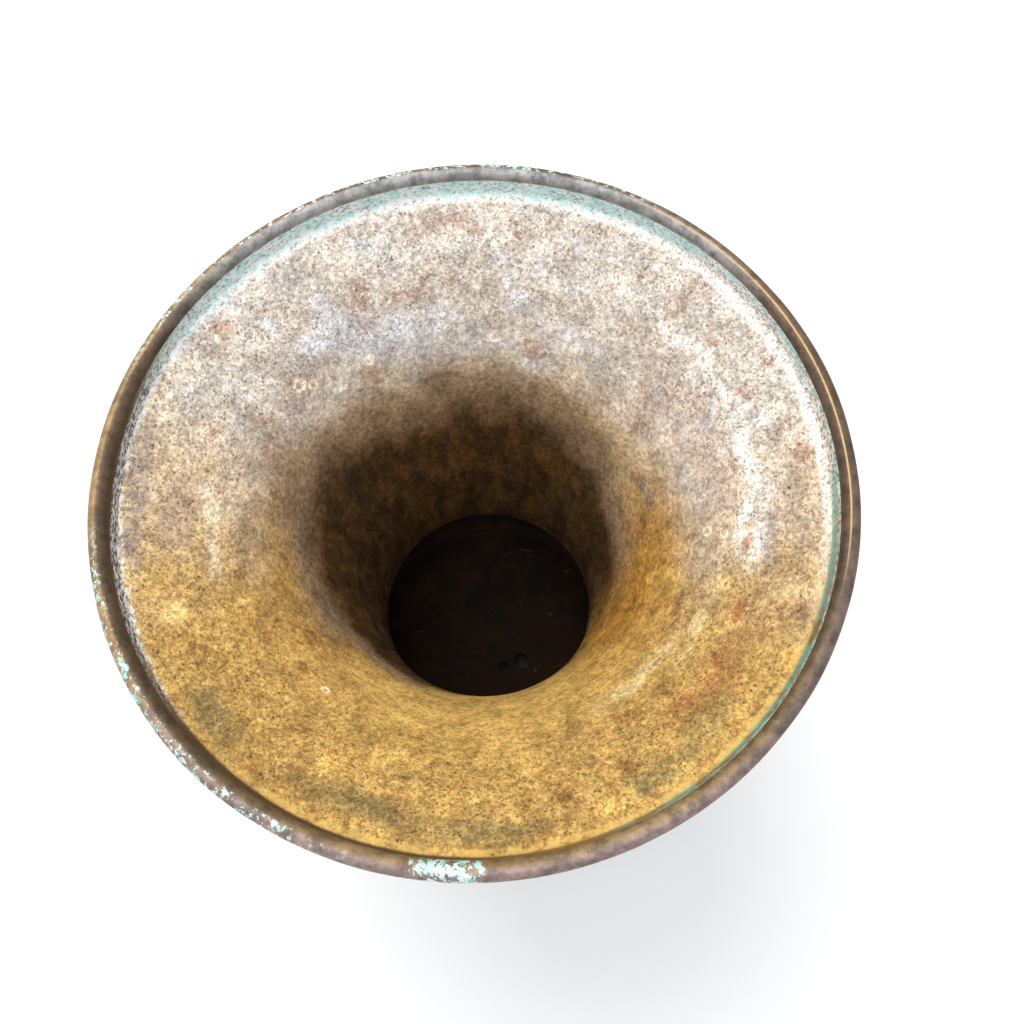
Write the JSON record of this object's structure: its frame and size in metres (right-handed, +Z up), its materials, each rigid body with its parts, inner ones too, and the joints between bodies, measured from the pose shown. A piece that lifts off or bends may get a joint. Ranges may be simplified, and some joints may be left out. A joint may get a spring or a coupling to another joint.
{
  "type": "planter pot",
  "caption": "Round brass planter pot: wide trumpet mouth with a rolled rim, a narrow neck, a bulging body and a ringed foot.",
  "frame": {"origin": "on the ground, at the centre of the foot ring", "axes": "+Z up along the pot's turning axis; the pot is round, and only the drain holes in the floor, towards +X and -Y, are off centre"},
  "size_m": [0.305, 0.305, 0.31],
  "materials": {
    "brass_trumpet": "dull weathered patina, stippled and pitted, with water marks and verdigris under the rim",
    "brass_body": "brown patina, worn lighter on the widest parts",
    "brass_mouldings": "brown patina with brighter worn crests",
    "brass_floor": "nearly black, stained and scratched",
    "braze": "rough as-brazed fillet, tarnished",
    "iron_wire": "dark iron, sealed inside the rolled rim"
  },
  "bodies": {
    "root": {"mouth_trumpet": "brass_trumpet", "rim_wire": "iron_wire", "neck_ring": "brass_mouldings", "neck_braze": "braze", "shoulder_shell": "brass_body", "belly_band": "brass_mouldings", "belly_braze": "braze", "lower_bowl": "brass_body", "base_disc": "brass_floor", "base_braze": "braze", "foot_ring": "brass_mouldings", "foot_braze": "braze"}
  },
  "joints": []
}
